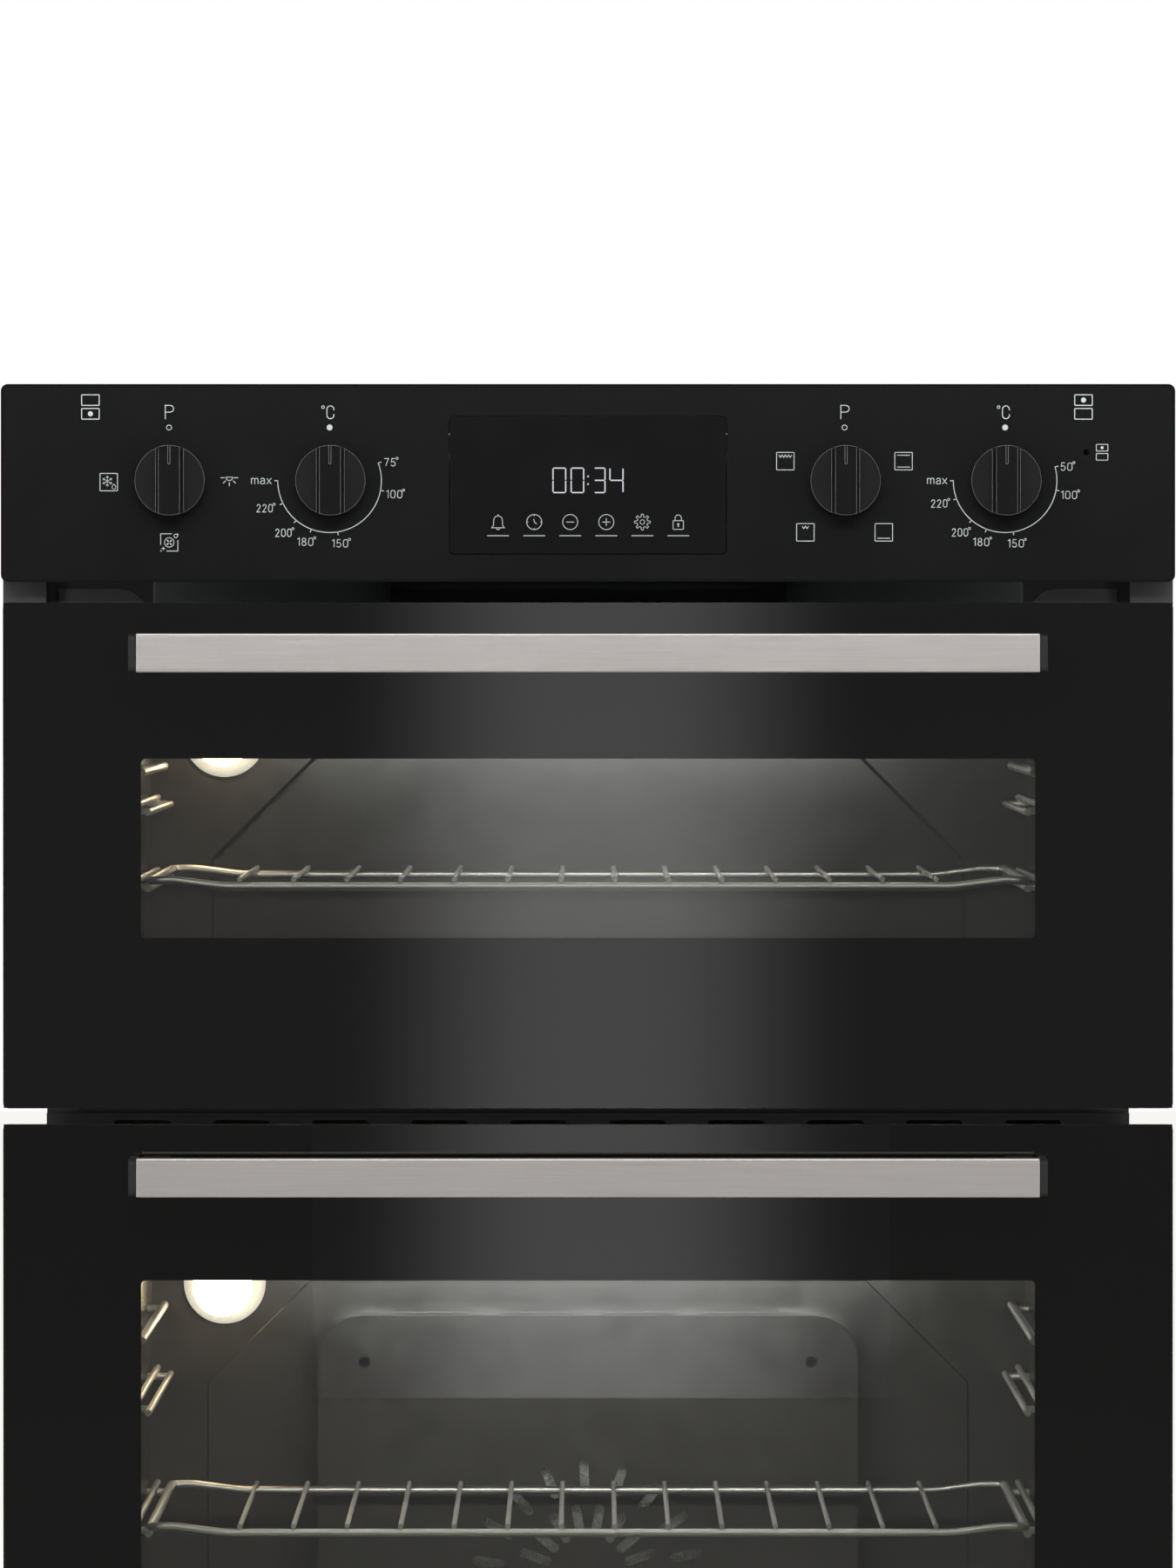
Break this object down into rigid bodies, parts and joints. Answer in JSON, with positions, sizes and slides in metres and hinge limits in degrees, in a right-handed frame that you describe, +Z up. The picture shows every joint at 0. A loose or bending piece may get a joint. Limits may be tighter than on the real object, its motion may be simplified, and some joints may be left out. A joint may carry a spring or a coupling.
{
  "type": "built-in double wall oven",
  "caption": "Built-in double oven with two drop-down glass doors, bar handles, a control panel with knobs and a display, and wire shelves inside.",
  "frame": {"origin": "centre of the base, level with the underside of the body, midway between the front of the handles and the back of the terminal box", "axes": "+X to the viewer's right when facing the oven, +Y back into the cabinet, +Z up; the doors face -Y"},
  "size_m": [0.594, 0.61, 0.888],
  "materials": {
    "galvanised_steel": "galvanised sheet, matt",
    "front_paint": "black paint, satin",
    "grey_bracket_paint": "dark grey paint, satin",
    "cavity_enamel": "baked enamel with fine light speckles",
    "tray_enamel": "black enamel with fine speckles",
    "glass_wool": "glass wool blanket",
    "seal_fibre": "woven glass fibre over wire",
    "element_tube": "heat darkened stainless tube",
    "motor_steel": "plated steel",
    "fan_steel": "stainless sheet",
    "ceramic": "white steatite",
    "bulb_glass": "clear glass",
    "lamp_glass": "frosted heat-proof glass",
    "chrome_wire": "bright chrome wire",
    "panel_black": "black lacquer, satin",
    "display_glass": "smoked acrylic, glossy",
    "circuit_board": "printed circuit board",
    "switch_plastic": "heat-proof moulding",
    "thermostat_steel": "plated steel case",
    "knob_black": "moulded, satin",
    "spindle_steel": "turned steel",
    "terminal_plastic": "moulded, matt",
    "screw_steel": "zinc plated",
    "door_glass": "black printed border and a clear window",
    "inner_glass": "heat-reflecting coating",
    "handle_metal": "brushed along its length",
    "handle_bracket": "dark grey, satin",
    "hinge_steel": "zinc plated",
    "spring_steel": "oiled spring wire"
  },
  "bodies": {
    "chassis": {"base_tray": "galvanised_steel", "left_side_panel": "galvanised_steel", "right_side_panel": "galvanised_steel", "rear_panel": "galvanised_steel", "top_cover": "galvanised_steel", "front_frame": "front_paint", "mounting_lugs": "grey_bracket_paint", "bottom_strip": "front_paint", "top_cavity": "cavity_enamel", "main_cavity": "cavity_enamel", "insulation": "glass_wool", "door_seals": "seal_fibre", "grill_element": "element_tube", "base_element": "element_tube", "ring_element": "element_tube", "fan_baffle": "cavity_enamel", "fan_motor": "motor_steel", "blower_housing": "galvanised_steel", "air_duct": "galvanised_steel", "blower_motor": "motor_steel", "lamp_sockets": "ceramic", "lamp_bulbs": "bulb_glass", "lamp_lenses": "lamp_glass", "shelf_supports": "chrome_wire", "control_fascia": "panel_black", "display_lens": "display_glass", "display_module": "circuit_board", "function_switches": "switch_plastic", "thermostats": "thermostat_steel", "terminal_box": "terminal_plastic", "hinge_arms": "hinge_steel", "hinge_receivers": "hinge_steel", "body_screws": "screw_steel"},
    "top_door": {"top_outer_glass": "door_glass", "top_inner_glass": "inner_glass", "top_door_frame": "front_paint", "top_handle_bar": "handle_metal", "top_handle_brackets": "handle_bracket", "top_hinge_channels": "hinge_steel", "top_hinge_springs": "spring_steel"},
    "main_door": {"main_outer_glass": "door_glass", "main_inner_glass": "inner_glass", "main_door_frame": "front_paint", "main_handle_bar": "handle_metal", "main_handle_brackets": "handle_bracket", "main_hinge_channels": "hinge_steel", "main_hinge_springs": "spring_steel"},
    "main_function_control": {"main_function_knob": "knob_black", "main_function_spindle": "spindle_steel"},
    "main_temperature_control": {"main_temperature_knob": "knob_black", "main_temperature_spindle": "spindle_steel"},
    "top_function_control": {"top_function_knob": "knob_black", "top_function_spindle": "spindle_steel"},
    "top_temperature_control": {"top_temperature_knob": "knob_black", "top_temperature_spindle": "spindle_steel"},
    "top_shelf": {"top_shelf": "chrome_wire"},
    "main_shelf": {"main_shelf": "chrome_wire"},
    "deep_tray": {"deep_tray": "tray_enamel"},
    "convection_fan": {"convection_fan": "fan_steel"},
    "blower_impeller": {"blower_impeller": "fan_steel"}
  },
  "joints": [
    {"name": "top_door_hinge", "type": "hinge", "parent": "chassis", "child": "top_door", "pos_m": [0, -0.2815, 0.5355], "axis": [1, 0, 0], "range_deg": [0, 90], "stiffness_Nm_per_rad": 1.7, "springref_deg": -28.65},
    {"name": "main_door_hinge", "type": "hinge", "parent": "chassis", "child": "main_door", "pos_m": [0, -0.2815, 0.0415], "axis": [1, 0, 0], "range_deg": [0, 90], "stiffness_Nm_per_rad": 6, "springref_deg": -28.65},
    {"name": "main_function_turn", "type": "hinge", "parent": "chassis", "child": "main_function_control", "pos_m": [-0.2113, -0.2955, 0.8391], "axis": [0, 1, 0], "continuous": true},
    {"name": "main_temperature_turn", "type": "hinge", "parent": "chassis", "child": "main_temperature_control", "pos_m": [-0.1301, -0.2955, 0.8391], "axis": [0, 1, 0], "range_deg": [0, 270]},
    {"name": "top_function_turn", "type": "hinge", "parent": "chassis", "child": "top_function_control", "pos_m": [0.1301, -0.2955, 0.8391], "axis": [0, 1, 0], "continuous": true},
    {"name": "top_temperature_turn", "type": "hinge", "parent": "chassis", "child": "top_temperature_control", "pos_m": [0.2113, -0.2955, 0.8391], "axis": [0, 1, 0], "range_deg": [0, 270]},
    {"name": "top_shelf_slide", "type": "slide", "parent": "chassis", "child": "top_shelf", "axis": [0, -1, 0], "range_m": [0, 0.018]},
    {"name": "main_shelf_slide", "type": "slide", "parent": "chassis", "child": "main_shelf", "axis": [0, -1, 0], "range_m": [0, 0.018]},
    {"name": "deep_tray_slide", "type": "slide", "parent": "chassis", "child": "deep_tray", "axis": [0, -1, 0], "range_m": [0, 0.018]},
    {"name": "convection_fan_spin", "type": "hinge", "parent": "chassis", "child": "convection_fan", "pos_m": [0, 0.118, 0.256], "axis": [0, 1, 0], "continuous": true},
    {"name": "blower_spin", "type": "hinge", "parent": "chassis", "child": "blower_impeller", "pos_m": [0, 0.07, 0.822], "axis": [1, 0, 0], "continuous": true}
  ]
}
